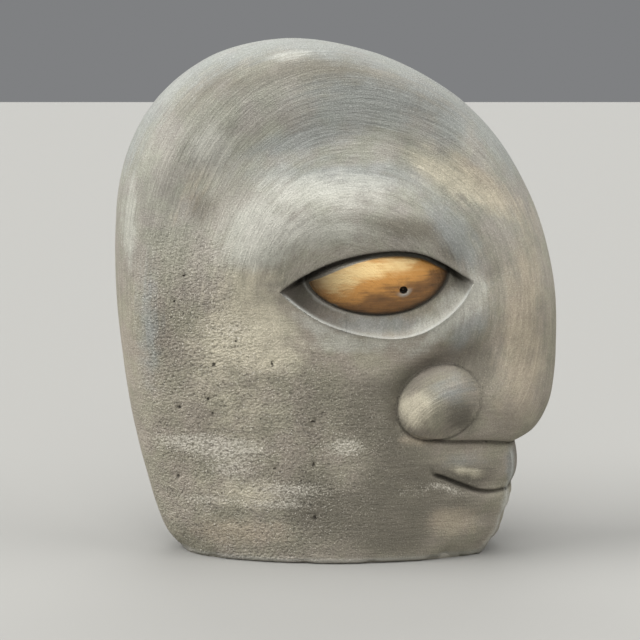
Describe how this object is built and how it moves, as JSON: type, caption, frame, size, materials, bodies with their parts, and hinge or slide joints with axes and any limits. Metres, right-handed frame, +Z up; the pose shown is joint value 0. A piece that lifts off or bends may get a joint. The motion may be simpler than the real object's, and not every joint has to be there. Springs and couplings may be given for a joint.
{
  "type": "concrete head sculpture",
  "caption": "Flat-sided stylised garden head in profile, cast in one block, with carved brow, lidded almond eye, round nose wing and lips, standing on its flat foot.",
  "frame": {"origin": "middle of the flat underside's bounding box, on the ground", "axes": "+Z up, -Y the way the face looks, +X the head's left side; X = 0 is the mirror plane"},
  "size_m": [0.114, 0.2568, 0.3],
  "materials": {
    "trowelled_concrete": "matte"
  },
  "bodies": {
    "root": {"concrete_head": "trowelled_concrete"}
  },
  "joints": []
}
